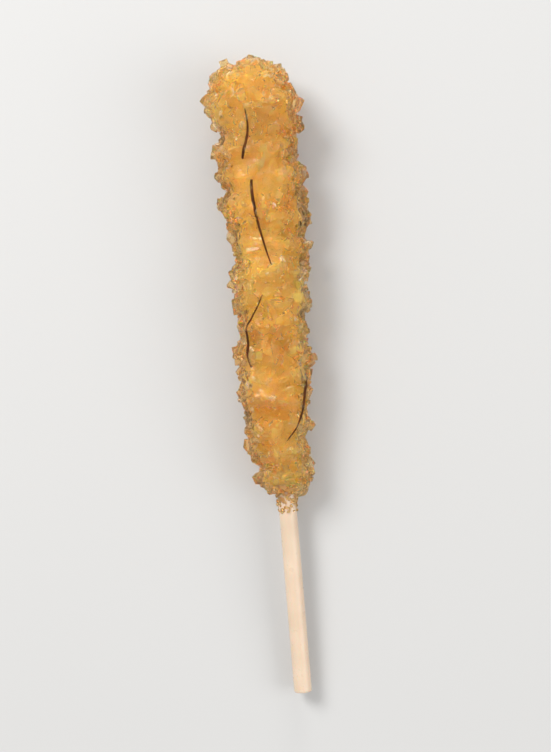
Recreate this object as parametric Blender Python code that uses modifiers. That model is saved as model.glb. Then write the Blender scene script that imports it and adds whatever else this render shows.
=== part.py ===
"""Rock candy stick: a thick crust of sugar crystals grown round one end of a white plastic rod.

The stick is modelled upright, the rod along +Z and the crust's tip on top. It is then laid on its
side with the tip towards +Y, where it rests on the worn undersides of its lowest crystals.
All sizes are in metres.
"""

import math
import random

import bmesh
import bpy
from mathutils import Euler, Matrix, Vector, noise

# Driving dimensions.
TOTAL_LENGTH = 0.140  # from the crust's tip to the rod's cut end
CRUST_LENGTH = 0.098
ROD_DIAMETER = 0.0039
TIP_COVER = 0.007  # sugar over the rod's buried end
FIT_GAP = 0.0003  # between the rod and the sugar that has grown round it

# The crust's outline: distance from the tip and radius. It is fattest just behind the blunt tip,
# has a waist there, swells once more and then narrows slowly towards the rod.
CRUST_OUTLINE = (
    (0.0, 0.0045),
    (0.004, 0.0090),
    (0.011, 0.0114),
    (0.019, 0.0098),
    (0.027, 0.0103),
    (0.044, 0.0094),
    (0.066, 0.0091),
    (0.082, 0.0081),
    (0.092, 0.0066),
    (0.098, 0.0040),
)
CRUST_FLATNESS = 0.90  # thickness over width
LUMP_SIZE = 0.0090
LUMP_SWELL = 0.19  # share of the radius that the lumps rise and fall by
CRUST_DRIFT = 0.0007  # how far the crust's middle wanders off the rod
DRIFT_LENGTH = 0.074  # length of one sideways wave along the stick
DRIFT_LENGTH_UP = 0.106  # and of one wave the other way
SLOPE_STEP = 0.0005  # half the stretch that the outline's slope is taken over

# The crust's large crystals.
CRYSTAL_LENGTH = 0.0086
CRYSTAL_WIDTH = 0.0062
CRYSTAL_SIZES = (0.74, 1.14)
CRYSTAL_TILT = math.radians(38)  # furthest lean from the crust's own normal
FULL_SIZE_RADIUS = 0.0085  # where the crust is thinner than this, its crystals are smaller too
RING_PITCH = 0.0055  # between rings of crystals
CRYSTAL_PITCH = 0.0063  # between crystals round a ring
PLACE_JITTER = 0.23  # share of either pitch by which a crystal misses its place
RING_JITTER = 0.2  # radians by which a ring misses the middle of its neighbour's gaps
FIRST_RING = 0.0022
LAST_RING_GAP = 0.0008
FEWEST_IN_RING = 3
SEED = 24

# One sugar crystal, as wide, deep and long as 1: a skewed six-sided prism with wedge-shaped ends.
CRYSTAL_DEPTH = 0.72
CRYSTAL_SKEW = 0.10
CRYSTAL_FACET = 0.45  # share of the width between the middle and the narrow facets
CRYSTAL_WEDGE = 0.28  # how steeply the ends fall away from their ridge

# The solid sugar between the rod and the large crystals.
SPINE_SINK = 0.0030  # its depth under the outline
SPINE_END_GAP = 0.0012
SPINE_SIDES = 14
SPINE_RINGS = 16
MERGE_DISTANCE = 0.00005

# How the stick lies.
MOST_SLOPE = math.tan(math.radians(8))  # between the rod and the surface it lies on
HALVINGS = 40
FLAT_DEPTH = 0.0010  # how much of the lowest crystals is worn flat

ROD_SIDES = 32
ROD_CHAMFER = 0.0003
CHAMFER_ANGLE = math.radians(60)  # edges sharper than this are chamfered
SMOOTH_ANGLE = math.radians(35)
CUTTER_MARGIN = 0.004
SLAB_WIDTH = 4 * TOTAL_LENGTH


def clear_scene():
    for obj in list(bpy.data.objects):
        bpy.data.objects.remove(obj, do_unlink=True)


def collection(name):
    made = bpy.data.collections.new(name)
    bpy.context.scene.collection.children.link(made)
    return made


def material(name, colour, roughness):
    made = bpy.data.materials.new(name)
    made.use_nodes = True
    shader = made.node_tree.nodes["Principled BSDF"]
    shader.inputs["Base Color"].default_value = (*colour, 1.0)
    shader.inputs["Roughness"].default_value = roughness
    shader.inputs["Metallic"].default_value = 0.0
    return made


def add_object(name, mesh, home, finish=None):
    made = bpy.data.objects.new(name, mesh)
    home.objects.link(made)
    if finish:
        mesh.materials.append(finish)
    return made


def make_cutter(obj):
    obj.hide_render = True
    obj.display_type = "WIRE"
    return obj


def outline_radius(from_tip):
    """The crust's radius at a distance from its tip, smoothly between the outline's points."""
    points = CRUST_OUTLINE
    if from_tip <= points[0][0]:
        return points[0][1]
    for (start, low), (end, high) in zip(points, points[1:]):
        if from_tip <= end:
            share = (from_tip - start) / (end - start)
            eased = share * share * (3.0 - 2.0 * share)
            return low + (high - low) * (share + eased) / 2.0
    return points[-1][1]


def outline_slope(from_tip):
    """How fast the crust widens away from its tip."""
    wider = outline_radius(from_tip + SLOPE_STEP) - outline_radius(from_tip - SLOPE_STEP)
    return wider / (2.0 * SLOPE_STEP)


def height(from_tip):
    """The height on the upright stick. The rod's cut end stands at 0."""
    return TOTAL_LENGTH - from_tip


def lump(direction, from_tip):
    """A factor on the radius that swells and sinks over patches the size of a lump."""
    place = direction * (outline_radius(from_tip) / LUMP_SIZE)
    place.z = from_tip / LUMP_SIZE
    return 1.0 + LUMP_SWELL * noise.noise(place)


def drift(from_tip):
    """How far the crust's middle lies off the rod at a distance from the tip."""
    turn = 2.0 * math.pi * from_tip
    sideways = -CRUST_DRIFT * math.cos(turn / DRIFT_LENGTH)
    return Vector((sideways, CRUST_DRIFT * math.sin(turn / DRIFT_LENGTH_UP), 0.0))


def sugar_crystal():
    """The corners of one sugar crystal, centred on the origin with its length along Z."""
    wide, deep = 0.5, CRYSTAL_DEPTH / 2.0
    side = (
        (-wide, -CRYSTAL_SKEW),
        (-wide * CRYSTAL_FACET, -deep),
        (wide, CRYSTAL_SKEW - deep),
    )
    section = [*side, *((-x, -y) for x, y in side)]
    return [
        (x, y, end * (0.5 - CRYSTAL_WEDGE * abs(x))) for end in (-1.0, 1.0) for x, y in section
    ]


def local_size(from_tip):
    """How large the crystals are at a distance from the tip, against full size."""
    return min(1.0, outline_radius(from_tip) / FULL_SIZE_RADIUS)


def crystal_places(rng):
    """Where each large crystal sits: its distance from the tip and its direction, ring by ring."""
    from_tip = FIRST_RING
    turned = 0.0
    while from_tip < CRUST_LENGTH - LAST_RING_GAP:
        pitch = RING_PITCH * local_size(from_tip) / math.hypot(1.0, outline_slope(from_tip))
        around = 2.0 * math.pi * outline_radius(from_tip)
        spacing = CRYSTAL_PITCH * local_size(from_tip)
        count = max(FEWEST_IN_RING, round(around / spacing))
        for i in range(count):
            angle = turned + 2.0 * math.pi * (i + rng.uniform(-1, 1) * PLACE_JITTER) / count
            yield from_tip + rng.uniform(-1, 1) * PLACE_JITTER * pitch, angle
        turned += math.pi / count + rng.uniform(-1, 1) * RING_JITTER
        from_tip += pitch


def add_crystal(bm, matrix):
    corners = [bm.verts.new(matrix @ Vector(corner)) for corner in sugar_crystal()]
    bmesh.ops.convex_hull(bm, input=corners)


def crystal_matrix(rng, place, normal, size):
    """Stands a crystal at a place with its long axis near the normal, leaning and turned at random."""
    lean = Euler((rng.uniform(-1, 1) * CRYSTAL_TILT, rng.uniform(-1, 1) * CRYSTAL_TILT, 0.0))
    roll = Matrix.Rotation(rng.uniform(0, 2.0 * math.pi), 3, "Z")
    outward = normal.to_track_quat("Z", "Y").to_matrix()
    scale = Matrix.Diagonal((CRYSTAL_WIDTH, CRYSTAL_WIDTH, CRYSTAL_LENGTH)) * size
    return Matrix.Translation(place) @ (outward @ lean.to_matrix() @ roll @ scale).to_4x4()


def large_crystals(home):
    """Every large crystal of the crust in one mesh. They run into each other and into the spine."""
    rng = random.Random(SEED)
    bm = bmesh.new()
    for from_tip, angle in crystal_places(rng):
        size = rng.uniform(*CRYSTAL_SIZES) * local_size(from_tip)
        direction = Vector((math.cos(angle), CRUST_FLATNESS * math.sin(angle), 0.0))
        radius = outline_radius(from_tip) * lump(direction, from_tip)
        normal = Vector((math.cos(angle), math.sin(angle), outline_slope(from_tip))).normalized()
        outermost = direction * radius + drift(from_tip)
        outermost.z = height(from_tip)
        place = outermost - normal * (0.5 * CRYSTAL_LENGTH * size)
        add_crystal(bm, crystal_matrix(rng, place, normal, size))
    tip_place = Vector((0.0, 0.0, height(0.0) - 0.5 * CRYSTAL_LENGTH))
    add_crystal(bm, crystal_matrix(rng, tip_place, Vector((0.0, 0.0, 1.0)), 1.0))
    bmesh.ops.recalc_face_normals(bm, faces=bm.faces)
    mesh = bpy.data.meshes.new("large_crystals")
    bm.to_mesh(mesh)
    bm.free()
    return make_cutter(add_object("large_crystals", mesh, home))


def sugar_spine(home, finish):
    """The solid sugar between the rod and the large crystals, turned round the rod's axis."""
    mesh = bpy.data.meshes.new("sugar_spine")
    first, last = SPINE_SINK, CRUST_LENGTH - SPINE_END_GAP
    profile = [Vector((0.0, 0.0, height(first)))]
    for i in range(SPINE_RINGS + 1):
        from_tip = first + (last - first) * i / SPINE_RINGS
        profile.append(Vector((outline_radius(from_tip) - SPINE_SINK, 0.0, height(from_tip))))
    profile.append(Vector((0.0, 0.0, height(last))))
    mesh.from_pydata(profile, [(i, i + 1) for i in range(len(profile) - 1)], [])
    spine = make_cutter(add_object("sugar_spine", mesh, home, finish))
    screw = spine.modifiers.new("turned", "SCREW")
    screw.steps = SPINE_SIDES
    screw.render_steps = SPINE_SIDES
    screw.use_merge_vertices = True
    screw.merge_threshold = MERGE_DISTANCE
    spine.scale = (1.0, CRUST_FLATNESS, 1.0)
    return spine


def cylinder(name, radius, low, high, home, finish=None):
    bm = bmesh.new()
    bmesh.ops.create_cone(
        bm, cap_ends=True, segments=ROD_SIDES, radius1=radius, radius2=radius, depth=high - low
    )
    bmesh.ops.translate(bm, verts=bm.verts, vec=(0.0, 0.0, (low + high) / 2.0))
    mesh = bpy.data.meshes.new(name)
    bm.to_mesh(mesh)
    bm.free()
    return add_object(name, mesh, home, finish)


def boolean(obj, operation, other, self_crossing=False):
    modifier = obj.modifiers.new(other.name, "BOOLEAN")
    modifier.operation = operation
    modifier.object = other
    modifier.solver = "EXACT"
    modifier.use_self = self_crossing


def islands(bm):
    """The groups of faces that hang together."""
    left = set(bm.faces)
    while left:
        stack = [left.pop()]
        group = list(stack)
        while stack:
            for edge in stack.pop().edges:
                found = left.intersection(edge.link_faces)
                left -= found
                stack.extend(found)
                group.extend(found)
        yield group


def fill_closed_pockets(mesh):
    """Keeps only the outer skin, so that the pockets shut in between crystals are solid sugar."""
    bm = bmesh.new()
    bm.from_mesh(mesh)
    groups = sorted(islands(bm), key=len, reverse=True)
    shut_in = [face for group in groups[1:] for face in group]
    bmesh.ops.delete(bm, geom=shut_in, context="FACES")
    bm.to_mesh(mesh)
    bm.free()


def baked(obj, name, home):
    """A plain mesh object made of what an object's modifiers give, in the same place."""
    bpy.context.view_layer.update()
    graph = bpy.context.evaluated_depsgraph_get()
    mesh = bpy.data.meshes.new_from_object(obj.evaluated_get(graph))
    mesh.name = name
    mesh.transform(obj.matrix_world)
    return add_object(name, mesh, home)


def make_crust(parts, cutters, sugar):
    """The whole crust, upright: its spine and large crystals as one solid, with a hole for the rod."""
    spine = sugar_spine(cutters, sugar)
    boolean(spine, "UNION", large_crystals(cutters), self_crossing=True)
    radius = ROD_DIAMETER / 2.0 + FIT_GAP
    bore = cylinder("rod_bore", radius, -CUTTER_MARGIN, height(TIP_COVER) + FIT_GAP, cutters)
    boolean(spine, "DIFFERENCE", make_cutter(bore))
    return baked(spine, "whole_crust", parts)


def resting_slope(points):
    """The slope of the surface that the lying crust touches on both sides of its middle.

    The points are the crust's, with the rod along Y. The steeper the surface, the further
    towards +Y it touches the crust, so the slope at which the touch passes the middle is halved in.
    """
    middle = height(CRUST_LENGTH / 2.0)
    low, high = -MOST_SLOPE, MOST_SLOPE
    for _ in range(HALVINGS):
        slope = (low + high) / 2.0
        touching = min(points, key=lambda point: point.z - slope * point.y)
        if touching.y > middle:
            high = slope
        else:
            low = slope
    return slope


def lie_down(crust):
    """Lays the upright crust on its side, tip towards +Y, and returns the turn about X for the rod."""
    level = Matrix.Rotation(-math.pi / 2.0, 4, "X")
    slope = resting_slope([level @ vert.co for vert in crust.data.vertices])
    turn = -math.pi / 2.0 - math.atan(slope)
    crust.data.transform(Matrix.Rotation(turn, 4, "X"))
    return turn


def wear_flats(crust, cutters):
    """Wears the lowest crystals level with the surface the stick lies on, and returns its height."""
    base = min(vert.co.z for vert in crust.data.vertices) + FLAT_DEPTH
    bm = bmesh.new()
    bmesh.ops.create_cube(bm, size=1.0)
    bmesh.ops.scale(bm, verts=bm.verts, vec=(SLAB_WIDTH, SLAB_WIDTH, CUTTER_MARGIN))
    mesh = bpy.data.meshes.new("rest_surface")
    bm.to_mesh(mesh)
    bm.free()
    slab = make_cutter(add_object("rest_surface", mesh, cutters))
    slab.location.z = base - CUTTER_MARGIN / 2.0
    boolean(crust, "DIFFERENCE", slab)
    return base


def make_rod(parts, plastic, turn):
    rod = cylinder("rod", ROD_DIAMETER / 2.0, 0.0, height(TIP_COVER), parts, plastic)
    chamfer = rod.modifiers.new("cut_ends", "BEVEL")
    chamfer.width = ROD_CHAMFER
    chamfer.segments = 2
    chamfer.limit_method = "ANGLE"
    chamfer.angle_limit = CHAMFER_ANGLE
    rod.rotation_euler.x = turn
    rod.data.shade_smooth()
    rod.data.set_sharp_from_angle(angle=SMOOTH_ANGLE)
    return rod


def centre_on_base(pieces, base, home):
    """Parents the pieces to an empty that puts the middle of the stick's base at the origin."""
    bpy.context.view_layer.update()
    graph = bpy.context.evaluated_depsgraph_get()
    corners = [
        piece.matrix_world @ vert.co
        for piece in pieces
        for vert in piece.evaluated_get(graph).data.vertices
    ]
    low = [min(corner[axis] for corner in corners) for axis in range(2)]
    high = [max(corner[axis] for corner in corners) for axis in range(2)]
    stick = bpy.data.objects.new("rock_candy_stick", None)
    home.objects.link(stick)
    stick.location = (-(low[0] + high[0]) / 2.0, -(low[1] + high[1]) / 2.0, -base)
    for piece in pieces:
        piece.parent = stick


def main():
    clear_scene()
    parts = collection("rock_candy_stick")
    cutters = collection("cutters")
    sugar = material("saffron_sugar", (0.62, 0.33, 0.065), 0.22)
    plastic = material("white_plastic", (0.86, 0.82, 0.74), 0.35)
    whole = make_crust(parts, cutters, sugar)
    turn = lie_down(whole)
    base = wear_flats(whole, cutters)
    candy = baked(whole, "candy", parts)
    bpy.data.objects.remove(whole)
    fill_closed_pockets(candy.data)
    rod = make_rod(parts, plastic, turn)
    centre_on_base([candy, rod], base, parts)


main()
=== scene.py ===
"""Looks of the rock candy stick: saffron sugar crystals, saffron threads and the white plastic rod.

A core of sugar follows the CAD crust. Thousands of clear crystals are fused with it into one closed
surface, through which a cloudier heart shows. Saffron threads lie in the crust with their ends sunk,
and a little sugar has crept out along the rod. All sizes are in metres.
"""

import math

import bmesh
import bpy
import numpy as np
from mathutils import Matrix, Vector, noise
from mathutils.bvhtree import BVHTree
from mathutils.kdtree import KDTree


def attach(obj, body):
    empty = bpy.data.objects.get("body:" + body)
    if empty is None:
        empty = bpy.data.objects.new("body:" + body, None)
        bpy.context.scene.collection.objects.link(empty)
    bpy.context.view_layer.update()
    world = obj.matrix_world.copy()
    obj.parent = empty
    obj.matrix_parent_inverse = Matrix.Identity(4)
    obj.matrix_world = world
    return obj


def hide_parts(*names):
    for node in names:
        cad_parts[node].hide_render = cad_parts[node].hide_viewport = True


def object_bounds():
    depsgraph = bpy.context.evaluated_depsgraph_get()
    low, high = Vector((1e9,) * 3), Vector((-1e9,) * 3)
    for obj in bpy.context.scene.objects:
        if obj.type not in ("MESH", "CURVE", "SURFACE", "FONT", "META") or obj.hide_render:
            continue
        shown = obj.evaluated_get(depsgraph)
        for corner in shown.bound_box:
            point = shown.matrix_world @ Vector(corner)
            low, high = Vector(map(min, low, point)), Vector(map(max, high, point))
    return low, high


SEED = 71
ROD_RADIUS = 0.00195
PROUD = 0.0002  # how far the looks may stand out of the CAD box

# The solid sugar that the crystals grow from, and the cloudy sugar further in. Both are the CAD
# crust, softened and sunk.
CORE = {"voxel": 0.0007, "smoothing": 5, "sinks": (0.0008, 0.0003)}
HEART = {"voxel": 0.0008, "smoothing": 14, "sinks": (0.0022, 0.0022)}
PLUG_OVERLAP = 0.0006  # of the plug that fills the rod's hole, with the sugar round it
PLUG_END = 0.0020  # how far inside the hole's mouth the plug ends
PLUG_SIDES = 24

# Crystals, from the largest to the smallest: how many at most, their spacing, their lengths, how
# far out of the core they stand, and what share is kept. The last two are given for rough patches
# and for smooth ones.
CRYSTAL_KINDS = (
    (300, 0.0042, (0.0030, 0.0044), (0.02, -0.12), (0.5, 0.8)),
    (2600, 0.0016, (0.0020, 0.0032), (0.06, -0.22), (1.0, 0.7)),
    (5000, 0.0010, (0.0011, 0.0018), (0.14, -0.15), (1.0, 0.5)),
)
SHAPE_COUNT = 40
PLACE_TRIES = 6  # for each crystal
PATCH_SIZE = 0.011
PATCH_EDGE = 0.2  # the noise on either side of 0 within which rough turns to smooth
SMOOTH_RISE = 25.0  # how much smoother it gets with each metre up, from SMOOTH_FROM over the rod's axis
SMOOTH_FROM = 0.002
CROWDING = 0.22  # share of two crystals' lengths that they keep between their middles
CRYSTAL_LEAN = 0.5
LYING_SHARE = 0.5
CRUST_TRIANGLES = 190000  # at most

# One crystal as long as 1: its width, and shares of that width or of its depth.
CRYSTAL_WIDTHS = (0.50, 0.85)
CRYSTAL_DEPTHS = (0.55, 0.9)
CRYSTAL_SKEWS = (0.0, 0.2)
CRYSTAL_FACETS = (0.25, 0.65)
CRYSTAL_WEDGES = (0.2, 0.65)
CRYSTAL_TILTS = (-0.2, 0.2)
CORNER_CUTS = (0.78, 0.92)  # how far out a cut-off corner still reaches

# The small crystals on the rod: how many, where they start outside the crust, how far they reach,
# how they thin out, their lengths, and how much shorter the last ones are.
CREEP_COUNT = 150
CREEP_START = -0.0018
CREEP_LENGTH = 0.0050
CREEP_THINNING = 1.6
CREEP_LENGTHS = (0.0008, 0.0016)
CREEP_SHRINK = 0.4

# Saffron threads: from the tip, turn round the stick, heading off its length, length, bend.
# A turn of 0 faces +X and 90 faces up. Headings and bends are in degrees.
THREADS = (
    (0.012, 104, 12, 0.011, 45),
    (0.046, 82, 172, 0.019, 16),
    (0.052, 106, 14, 0.016, -28),
    (0.084, 76, 196, 0.015, -30),
    (0.022, -36, 6, 0.016, -20),
    (0.074, -38, 188, 0.018, 30),
    (0.018, 218, -4, 0.015, 25),
    (0.062, 222, 174, 0.018, -15),
    (0.072, 216, 5, 0.013, 20),
    (0.036, -52, 10, 0.015, 12),
    (0.060, -84, -12, 0.018, -18),
    (0.045, -118, 18, 0.015, 25),
    (0.030, -100, -8, 0.014, -25),
)
THREAD_STEP = 0.0005
THREAD_LIFTS = (-0.0007, 0.0001, 0.0001, -0.0004)  # above the sugar, from a thread's start to its end
THREAD_LIFTS_AT = (0.0, 0.2, 0.85, 1.0)
THREAD_RADII = (0.00013, 0.00020, 0.00028, 0.00036, 0.00032)
THREAD_FLATNESS = 0.7
THREAD_SIDES = 8
RAY_START = 0.05  # a distance from the rod's axis that is well outside the crust

# The camera looks straight down, turned as the stick lies in the photo.
LENS_MM = 85
SENSOR_MM = 36
STICK_SHARE = 0.88  # of the picture's height
CAMERA_TURN = math.radians(-4.8)


def link(name, data):
    made = bpy.data.objects.new(name, data)
    bpy.context.scene.collection.objects.link(made)
    return made


def rod_ends():
    """The middles of the rod's cut end and of its end inside the sugar."""
    points = np.array([vert.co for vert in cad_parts["rod"].data.vertices])
    middle = points.mean(axis=0)
    axis = np.linalg.svd(points - middle, full_matrices=False)[2][0]
    axis *= math.copysign(1.0, axis[1])
    along = (points - middle) @ axis
    return Vector(middle + axis * along.min()), Vector(middle + axis * along.max())


def evaluated_mesh(obj):
    graph = bpy.context.evaluated_depsgraph_get()
    return bpy.data.meshes.new_from_object(obj.evaluated_get(graph))


def apply_modifiers(obj):
    obj.data = evaluated_mesh(obj)
    obj.modifiers.clear()


def patches(points):
    """Which patch each point lies in, from 0 in a rough one to 1 in a smooth one, as most are on top."""
    axis_height = rod_out.z + (points[:, 1] - rod_out.y) * rod_axis.z / rod_axis.y
    values = np.array([noise.noise(Vector(point) / PATCH_SIZE) for point in points])
    values += SMOOTH_RISE * (points[:, 2] - axis_height - SMOOTH_FROM)
    return np.interp(values, (-PATCH_EDGE, PATCH_EDGE), (0.0, 1.0))


def by_patch(patch, ends):
    return ends[0] + (ends[1] - ends[0]) * patch


def make_body(name, voxel, smoothing, sinks):
    """The CAD crust with its hole filled, softened and sunk."""
    bm = bmesh.new()
    bm.from_mesh(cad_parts["candy"].data)
    bmesh.ops.remove_doubles(bm, verts=bm.verts, dist=1e-6)
    along = [(vert.co - rod_out).dot(rod_axis) for vert in bm.verts]
    low, high = min(along) + PLUG_END, (rod_in - rod_out).length + PLUG_OVERLAP
    turn = rod_axis.to_track_quat("Z", "Y").to_matrix().to_4x4()
    place = Matrix.Translation(rod_out + rod_axis * (low + high) / 2.0) @ turn
    radius = ROD_RADIUS + 2.0 * PLUG_OVERLAP
    bmesh.ops.create_cone(
        bm,
        cap_ends=True,
        segments=PLUG_SIDES,
        radius1=radius,
        radius2=radius,
        depth=high - low,
        matrix=place,
    )
    mesh = bpy.data.meshes.new(name)
    bm.to_mesh(mesh)
    bm.free()
    body = link(name, mesh)
    remesh = body.modifiers.new("remesh", "REMESH")
    remesh.mode = "VOXEL"
    remesh.voxel_size = voxel
    smooth = body.modifiers.new("smooth", "SMOOTH")
    smooth.factor = 0.5
    smooth.iterations = smoothing
    apply_modifiers(body)
    points = mesh_points(body.data)
    points -= mesh_normals(body.data) * by_patch(patches(points), sinks)[:, None]
    body.data.vertices.foreach_set("co", points.astype(np.float32).ravel())
    body.data.update()
    return body


def mesh_points(mesh):
    points = np.empty(len(mesh.vertices) * 3, np.float32)
    mesh.vertices.foreach_get("co", points)
    return points.reshape(-1, 3).astype(float)


def mesh_normals(mesh):
    normals = np.empty(len(mesh.vertices) * 3, np.float32)
    mesh.vertices.foreach_get("normal", normals)
    return normals.reshape(-1, 3).astype(float)


def crystal_shape(rng):
    """One sugar crystal as long as 1: points and triangles. A six-sided prism with wedge ends."""
    width = rng.uniform(*CRYSTAL_WIDTHS)
    depth = width * rng.uniform(*CRYSTAL_DEPTHS)
    skew = rng.uniform(*CRYSTAL_SKEWS) * depth
    facet = rng.uniform(*CRYSTAL_FACETS)
    side = (
        (-width / 2, -skew),
        (-width / 2 * facet, -depth / 2),
        (width / 2, skew - depth / 2),
    )
    section = [*side, *((-x, -y) for x, y in side)]
    bm = bmesh.new()
    for end in (-1.0, 1.0):
        wedge = rng.uniform(*CRYSTAL_WEDGES)
        tilt = rng.uniform(*CRYSTAL_TILTS)
        for x, y in section:
            bm.verts.new((x, y, end * (0.5 - wedge * abs(x) + tilt * y)))
    bmesh.ops.convex_hull(bm, input=bm.verts)
    bmesh.ops.dissolve_limit(bm, angle_limit=0.01, verts=bm.verts, edges=bm.edges)
    for _ in range(rng.integers(1, 3)):
        corner = list(bm.verts)[rng.integers(len(bm.verts))].co.copy()
        cut = bmesh.ops.bisect_plane(
            bm,
            geom=[*bm.verts, *bm.edges, *bm.faces],
            plane_co=corner * rng.uniform(*CORNER_CUTS),
            plane_no=corner.normalized(),
            clear_outer=True,
        )
        edges = [item for item in cut["geom_cut"] if isinstance(item, bmesh.types.BMEdge)]
        bmesh.ops.holes_fill(bm, edges=edges)
    bmesh.ops.triangulate(bm, faces=bm.faces)
    bmesh.ops.recalc_face_normals(bm, faces=bm.faces)
    bm.verts.index_update()
    points = np.array([vert.co for vert in bm.verts])
    faces = np.array([[vert.index for vert in face.verts] for face in bm.faces])
    bm.free()
    return points, faces


def surface_places(mesh, rng, count, spacing):
    """Points on a mesh at least a spacing apart, with its normals there."""
    mesh.calc_loop_triangles()
    corners = np.array([tri.vertices for tri in mesh.loop_triangles])
    points, normals = mesh_points(mesh), mesh_normals(mesh)
    a, b, c = (points[corners[:, i]] for i in range(3))
    area = np.linalg.norm(np.cross(b - a, c - a), axis=1)
    tries = count * PLACE_TRIES
    chosen = rng.choice(len(corners), tries, p=area / area.sum())
    u, v = rng.random(tries), rng.random(tries)
    over = u + v > 1
    u[over], v[over] = 1 - u[over], 1 - v[over]
    weights = np.stack([1 - u - v, u, v], axis=1)
    places = (points[corners[chosen]] * weights[:, :, None]).sum(axis=1)
    outward = (normals[corners[chosen]] * weights[:, :, None]).sum(axis=1)
    outward /= np.linalg.norm(outward, axis=1)[:, None]
    kept = spread_out(places, spacing)[:count]
    return places[kept], outward[kept]


def spread_out(places, spacing):
    """Which of the places, taken in order, are at least a spacing from all taken before them."""
    taken, kept = {}, []
    steps = [(dx, dy, dz) for dx in (-1, 0, 1) for dy in (-1, 0, 1) for dz in (-1, 0, 1)]
    for i, place in enumerate(places):
        x, y, z = (int(n) for n in np.floor(place / spacing))
        near = [j for dx, dy, dz in steps for j in taken.get((x + dx, y + dy, z + dz), ())]
        if near and (((places[near] - place) ** 2).sum(axis=1) < spacing * spacing).any():
            continue
        taken.setdefault((x, y, z), []).append(i)
        kept.append(i)
    return kept


def turned_frames(rng, outward, lean):
    """One 3 by 3 turn per crystal, its Z near the outward direction."""
    count = len(outward)
    axis = outward + rng.normal(0, lean, (count, 3))
    axis /= np.linalg.norm(axis, axis=1)[:, None]
    side = np.cross(axis, rng.normal(0, 1, (count, 3)))
    side /= np.linalg.norm(side, axis=1)[:, None]
    return np.stack([side, np.cross(axis, side), axis], axis=2)


def triangle_mesh(name, points, faces):
    mesh = bpy.data.meshes.new(name)
    mesh.vertices.add(len(points))
    mesh.vertices.foreach_set("co", points.astype(np.float32).ravel())
    mesh.loops.add(faces.size)
    mesh.loops.foreach_set("vertex_index", faces.astype(np.int32).ravel())
    mesh.polygons.add(len(faces))
    mesh.polygons.foreach_set("loop_start", np.arange(0, faces.size, 3, dtype=np.int32))
    mesh.update(calc_edges=True)
    return mesh


def clear_of(places, sizes, taken):
    """Which places keep clear of the larger crystals that are there already."""
    if not taken:
        return np.ones(len(places), bool)
    tree = KDTree(len(taken))
    for i, (place, _) in enumerate(taken):
        tree.insert(place, i)
    tree.balance()
    largest = max(size for _, size in taken)
    clear = []
    for place, size in zip(places, sizes):
        near = tree.find_range(place, CROWDING * (size + largest))
        clear.append(all(gap > CROWDING * (size + taken[i][1]) for _, i, gap in near))
    return np.array(clear)


def grow_crystals(core, rng):
    """Crystals all over the core: points, triangles, middle and reach of each."""
    shapes = [crystal_shape(rng) for _ in range(SHAPE_COUNT)]
    crystals, taken = [], []
    for count, spacing, lengths, stands, shares in CRYSTAL_KINDS:
        places, outward = surface_places(core.data, rng, count, spacing)
        sizes = rng.uniform(*lengths, len(places))
        patch = patches(places)
        kept = rng.random(len(places)) < by_patch(patch, shares)
        kept &= clear_of(places, sizes, taken)
        places, outward, sizes = places[kept], outward[kept], sizes[kept]
        stand = by_patch(patch[kept], stands)
        taken.extend(zip(places, sizes))
        turns = turned_frames(rng, outward, CRYSTAL_LEAN)
        lying = rng.random(len(places)) < LYING_SHARE
        turns[lying] = turns[lying][:, :, [1, 2, 0]]
        middles = places + outward * (sizes * stand)[:, None]
        crystals += placed(rng, shapes, middles, turns, sizes)
    return crystals + placed(rng, shapes, *creeping(rng))


def placed(rng, shapes, places, turns, sizes):
    """Each place's crystal: its points, triangles, middle and reach."""
    crystals = []
    picks = rng.integers(SHAPE_COUNT, size=len(places))
    for place, turn, size, pick in zip(places, turns, sizes, picks):
        points, faces = shapes[pick]
        points = points @ turn.T * size
        reach = np.linalg.norm(points, axis=1).max()
        crystals.append((in_box(points + place), faces, place, reach))
    return crystals


def creeping(rng):
    """Places, turns and sizes of the small crystals on the rod, fewer further from the crust."""
    out = CREEP_LENGTH * rng.random(CREEP_COUNT) ** CREEP_THINNING
    angle = rng.uniform(0, 2 * math.pi, CREEP_COUNT)
    outward = np.array([across(a) for a in angle])
    places = np.array(crust_end) - np.outer(out + CREEP_START, rod_axis) + outward * ROD_RADIUS
    sizes = rng.uniform(*CREEP_LENGTHS, CREEP_COUNT) * (1 - CREEP_SHRINK * out / CREEP_LENGTH)
    return places, turned_frames(rng, outward, CRYSTAL_LEAN), sizes


def in_box(points):
    """The points, those outside the CAD box or under the floor pushed back to it."""
    points = np.clip(points, np.array(cad_low) - PROUD, np.array(cad_high) + PROUD)
    points[:, 2] = np.maximum(points[:, 2], cad_low.z)
    return points


def apart(crystals):
    """The crystals in groups, no two of a group near enough to touch."""
    tree = KDTree(len(crystals))
    for i, (_, _, place, _) in enumerate(crystals):
        tree.insert(place, i)
    tree.balance()
    furthest = max(reach for *_, reach in crystals)
    group, groups = {}, []
    for i, (_, _, place, reach) in enumerate(crystals):
        near = tree.find_range(place, reach + furthest)
        used = {group[j] for _, j, gap in near if j in group and gap < reach + crystals[j][3]}
        group[i] = next(g for g in range(len(crystals)) if g not in used)
        if group[i] == len(groups):
            groups.append([])
        groups[group[i]].append(crystals[i])
    return groups


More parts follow.
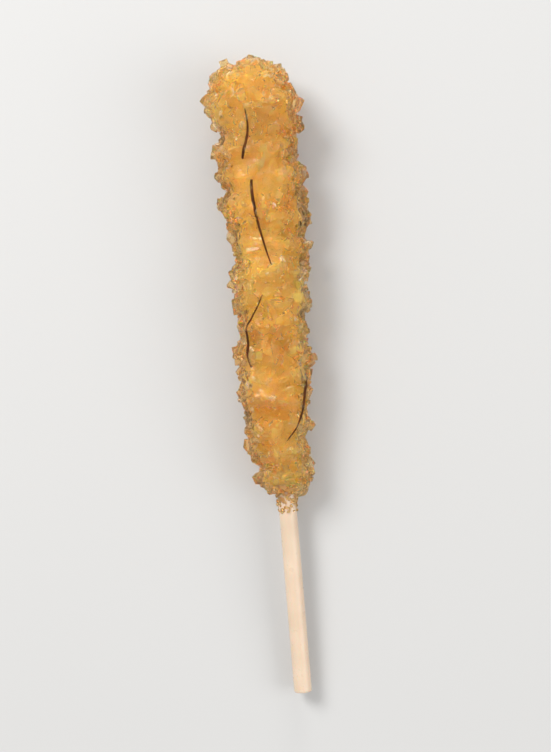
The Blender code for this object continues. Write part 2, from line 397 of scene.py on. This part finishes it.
def fuse(core, crystals):
    """One closed surface round the core and all the crystals."""
    for group in apart(crystals):
        first, points, faces = 0, [], []
        for crystal_points, crystal_faces, _, _ in group:
            points.append(crystal_points)
            faces.append(crystal_faces + first)
            first += len(crystal_points)
        mesh = triangle_mesh("cluster", np.concatenate(points), np.concatenate(faces))
        cluster = link("cluster", mesh)
        union = core.modifiers.new("union", "BOOLEAN")
        union.operation = "UNION"
        union.solver = "MANIFOLD"
        union.object = cluster
        apply_modifiers(core)
        bpy.data.objects.remove(cluster)
    count = sum(len(face.vertices) - 2 for face in core.data.polygons)
    facets = core.modifiers.new("facets", "DECIMATE")
    facets.ratio = min(1.0, CRUST_TRIANGLES / count)
    facets.use_collapse_triangulate = True
    apply_modifiers(core)
    core.data.shade_flat()
    return core


def across(turn):
    """The direction from the rod's axis at a turn round the stick, 0 towards +X and 90 up."""
    side = Vector((1, 0, 0))
    side = (side - rod_axis * side.dot(rod_axis)).normalized()
    up = side.cross(rod_axis)
    return side * math.cos(turn) + up * math.sin(turn)


def crust_radius(bvh, along, turn):
    """The distance from the rod's axis to the crust's surface, so far from the tip at this turn."""
    start = tip - rod_axis * along
    direction = across(turn)
    return (bvh.ray_cast(start + direction * RAY_START, -direction)[0] - start).length


def thread_path(bvh, from_tip, turn, heading, length, bend):
    """The middle line of one thread: it bends as it goes, and both its ends sink into the sugar."""
    turn, heading, bend = (math.radians(a) for a in (turn, heading, bend))
    steps = round(length / THREAD_STEP)
    polar = []
    for i in range(steps + 1):
        radius = crust_radius(bvh, from_tip, turn)
        polar.append((from_tip, turn, radius))
        at = heading + bend * (i / steps - 0.5)
        from_tip += THREAD_STEP * math.cos(at)
        turn += THREAD_STEP * math.sin(at) / radius
    radii = np.array([p[2] for p in polar])
    radii = np.lib.stride_tricks.sliding_window_view(np.pad(radii, 1, mode="edge"), 3).max(axis=1)
    radii = np.convolve(np.pad(radii, 4, mode="edge"), np.ones(9) / 9, "valid")
    radii += np.interp(np.arange(steps + 1) / steps, THREAD_LIFTS_AT, THREAD_LIFTS)
    return [
        tip - rod_axis * along + across(angle) * radius
        for (along, angle, _), radius in zip(polar, radii)
    ]


def make_threads(paths):
    bm = bmesh.new()
    for path in paths:
        add_thread(bm, path)
    mesh = bpy.data.meshes.new("saffron_threads")
    bm.to_mesh(mesh)
    bm.free()
    mesh.shade_smooth()
    return link("saffron_threads", mesh)


def add_thread(bm, path):
    """A flattened tube along the path, thin at its start, thickest near its end and cut off there."""
    rings = []
    last = len(THREAD_RADII) - 1
    radii = np.interp(np.linspace(0, last, len(path)), range(last + 1), THREAD_RADII)
    for i, (point, radius) in enumerate(zip(path, radii)):
        ahead = path[min(i + 1, len(path) - 1)] - path[max(i - 1, 0)]
        ahead.normalize()
        axis_point = tip + rod_axis * (point - tip).dot(rod_axis)
        out = (point - axis_point).normalized()
        out = (out - ahead * out.dot(ahead)).normalized()
        side = ahead.cross(out)
        ring = []
        for k in range(THREAD_SIDES):
            angle = 2 * math.pi * k / THREAD_SIDES
            offset = side * math.cos(angle) + out * (math.sin(angle) * THREAD_FLATNESS)
            ring.append(bm.verts.new(in_box(np.array([point + offset * radius]))[0]))
        rings.append(ring)
    for first, second in zip(rings, rings[1:]):
        for k in range(THREAD_SIDES):
            after = (k + 1) % THREAD_SIDES
            bm.faces.new((first[k], first[after], second[after], second[k]))
    bm.faces.new(list(reversed(rings[0])))
    bm.faces.new(rings[-1])


class Nodes:
    """A short way to write a material's node tree."""

    def __init__(self, name):
        self.material = bpy.data.materials.new(name)
        self.material.use_nodes = True
        self.tree = self.material.node_tree
        self.shader = self.tree.nodes["Principled BSDF"]

    def add(self, kind, **settings):
        node = self.tree.nodes.new(kind)
        for name, value in settings.items():
            setattr(node, name, value)
        return node

    def link(self, source, target):
        self.tree.links.new(source, target)

    def set(self, **values):
        for name, value in values.items():
            self.shader.inputs[name.replace("_", " ")].default_value = value

    def ramp(self, source, stops):
        node = self.add("ShaderNodeValToRGB")
        elements = node.color_ramp.elements
        elements[0].position, elements[1].position = stops[0][0], stops[-1][0]
        for position, _ in stops[1:-1]:
            elements.new(position)
        for element, (_, colour) in zip(elements, stops):
            element.color = (*colour, 1.0)
        self.link(source, node.inputs["Fac"])
        return node.outputs["Color"]

    def noise(self, scale, detail=2.0):
        place = self.add("ShaderNodeTexCoord")
        node = self.add("ShaderNodeTexNoise")
        node.inputs["Scale"].default_value = scale
        node.inputs["Detail"].default_value = detail
        self.link(place.outputs["Object"], node.inputs["Vector"])
        return node.outputs["Fac"]

    def mix(self, a, b, factor):
        node = self.add("ShaderNodeMix")
        node.inputs["Factor"].default_value = factor
        self.link(a, node.inputs["A"])
        self.link(b, node.inputs["B"])
        return node.outputs["Result"]


# Ramps from noise to colour.
CRUST_AMBER = (
    (0.3, (0.96, 0.60, 0.26)),
    (0.5, (0.98, 0.68, 0.32)),
    (0.7, (0.98, 0.75, 0.38)),
)
HEART_AMBER = (
    (0.3, (0.80, 0.53, 0.14)),
    (0.5, (0.87, 0.64, 0.19)),
    (0.7, (0.91, 0.71, 0.24)),
)
THREAD_MAROON = (
    (0.3, (0.035, 0.009, 0.002)),
    (0.5, (0.07, 0.018, 0.003)),
    (0.75, (0.13, 0.036, 0.005)),
)
ROD_WHITE = ((0.3, (0.63, 0.48, 0.345)), (0.7, (0.69, 0.54, 0.40)))
ROD_ROUGHNESS = ((0.3, (0.26,) * 3), (0.7, (0.40,) * 3))


def heart_material():
    nodes = Nodes("cloudy_sugar")
    nodes.set(Roughness=0.25, IOR=1.45, Subsurface_Weight=1.0, Subsurface_Scale=0.003)
    nodes.set(Subsurface_Radius=(1.0, 0.55, 0.15))
    clouds = nodes.mix(nodes.noise(110.0), nodes.noise(420.0), 0.35)
    nodes.link(nodes.ramp(clouds, HEART_AMBER), nodes.shader.inputs["Base Color"])
    return nodes.material


def crust_material():
    nodes = Nodes("saffron_sugar")
    nodes.set(IOR=1.3, Specular_IOR_Level=0.8, Transmission_Weight=0.9, Roughness=0.15)
    nodes.set(Subsurface_Weight=1.0, Subsurface_Scale=0.0015, Subsurface_Radius=(1.0, 0.8, 0.5))
    clouds = nodes.mix(nodes.noise(70.0), nodes.noise(300.0), 0.12)
    nodes.link(nodes.ramp(clouds, CRUST_AMBER), nodes.shader.inputs["Base Color"])
    return nodes.material


def thread_material():
    nodes = Nodes("saffron_thread")
    nodes.set(Roughness=0.7, Specular_IOR_Level=0.15)
    nodes.link(nodes.ramp(nodes.noise(500.0), THREAD_MAROON), nodes.shader.inputs["Base Color"])
    return nodes.material


def rod_material():
    nodes = Nodes("white_plastic")
    nodes.set(IOR=1.5, Subsurface_Weight=0.2, Subsurface_Scale=0.001)
    nodes.link(nodes.ramp(nodes.noise(160.0), ROD_WHITE), nodes.shader.inputs["Base Color"])
    nodes.link(nodes.ramp(nodes.noise(600.0), ROD_ROUGHNESS), nodes.shader.inputs["Roughness"])
    return nodes.material


def put_material(obj, material):
    obj.data.materials.clear()
    obj.data.materials.append(material)


def make_stage():
    mesh = bpy.data.meshes.new("floor")
    bm = bmesh.new()
    bmesh.ops.create_grid(bm, x_segments=1, y_segments=1, size=3.0)
    bm.to_mesh(mesh)
    bm.free()
    floor = link("floor", mesh)
    nodes = Nodes("pale_floor")
    nodes.shader.inputs["Base Color"].default_value = (0.54, 0.535, 0.525, 1)
    nodes.set(Roughness=0.7)
    put_material(floor, nodes.material)


def area_light(name, place, size, power):
    data = bpy.data.lights.new(name, "AREA")
    data.shape = "RECTANGLE"
    data.size, data.size_y = size
    data.energy = power
    light = link(name, data)
    light.location = place
    light.rotation_euler = (-Vector(place)).to_track_quat("-Z", "Y").to_euler()


def make_light():
    world = bpy.data.worlds.new("studio")
    bpy.context.scene.world = world
    world.use_nodes = True
    background = world.node_tree.nodes["Background"]
    background.inputs["Color"].default_value = (1, 1, 1, 1)
    background.inputs["Strength"].default_value = 0.68
    area_light("key", (-0.45, 0.5, 0.7), (0.4, 0.4), 7.6)
    area_light("fill", (0.6, -0.1, 0.5), (0.5, 0.5), 2.0)
    area_light("rim", (0.15, 0.7, 0.25), (0.3, 0.1), 1.2)


def make_camera():
    data = bpy.data.cameras.new("camera")
    data.lens = LENS_MM
    camera = link("camera", data)
    middle = (cad_low + cad_high) / 2.0
    seen = (cad_high.y - cad_low.y) / STICK_SHARE
    camera.location = (middle.x, middle.y, cad_high.z + seen * LENS_MM / SENSOR_MM)
    camera.rotation_euler = (0, 0, CAMERA_TURN)
    bpy.context.scene.camera = camera


def make_render():
    scene = bpy.context.scene
    scene.view_settings.view_transform = "Standard"
    scene.cycles.use_denoising = True
    scene.cycles.max_bounces = 20
    scene.cycles.transmission_bounces = 18
    scene.cycles.glossy_bounces = 6
    scene.cycles.diffuse_bounces = 4
    scene.cycles.caustics_reflective = True
    scene.cycles.caustics_refractive = True


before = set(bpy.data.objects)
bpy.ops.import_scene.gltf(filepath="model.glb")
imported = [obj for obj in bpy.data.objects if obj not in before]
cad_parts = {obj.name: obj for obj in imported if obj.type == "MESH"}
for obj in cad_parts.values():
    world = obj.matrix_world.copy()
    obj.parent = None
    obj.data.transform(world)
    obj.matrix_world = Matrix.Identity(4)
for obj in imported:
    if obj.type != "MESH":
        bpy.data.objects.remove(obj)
cad_low, cad_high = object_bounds()
rod_out, rod_in = rod_ends()
rod_axis = (rod_in - rod_out).normalized()
candy_points = [vert.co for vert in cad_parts["candy"].data.vertices]
candy_along = [(point - rod_out).dot(rod_axis) for point in candy_points]
crust_end = rod_out + rod_axis * min(candy_along)
tip = rod_out + rod_axis * max(candy_along)
rng = np.random.default_rng(SEED)

core = make_body("candy_crust", **CORE)
heart = make_body("candy_heart", **HEART)
put_material(heart, heart_material())
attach(heart, "root")

crust = fuse(core, grow_crystals(core, rng))
put_material(crust, crust_material())
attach(crust, "root")
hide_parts("candy")

crust_points = [vert.co for vert in crust.data.vertices]
bvh = BVHTree.FromPolygons(crust_points, [face.vertices for face in crust.data.polygons])
threads = make_threads([thread_path(bvh, *thread) for thread in THREADS])
put_material(threads, thread_material())
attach(threads, "root")

put_material(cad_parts["rod"], rod_material())
make_stage()
make_light()
make_camera()
make_render()
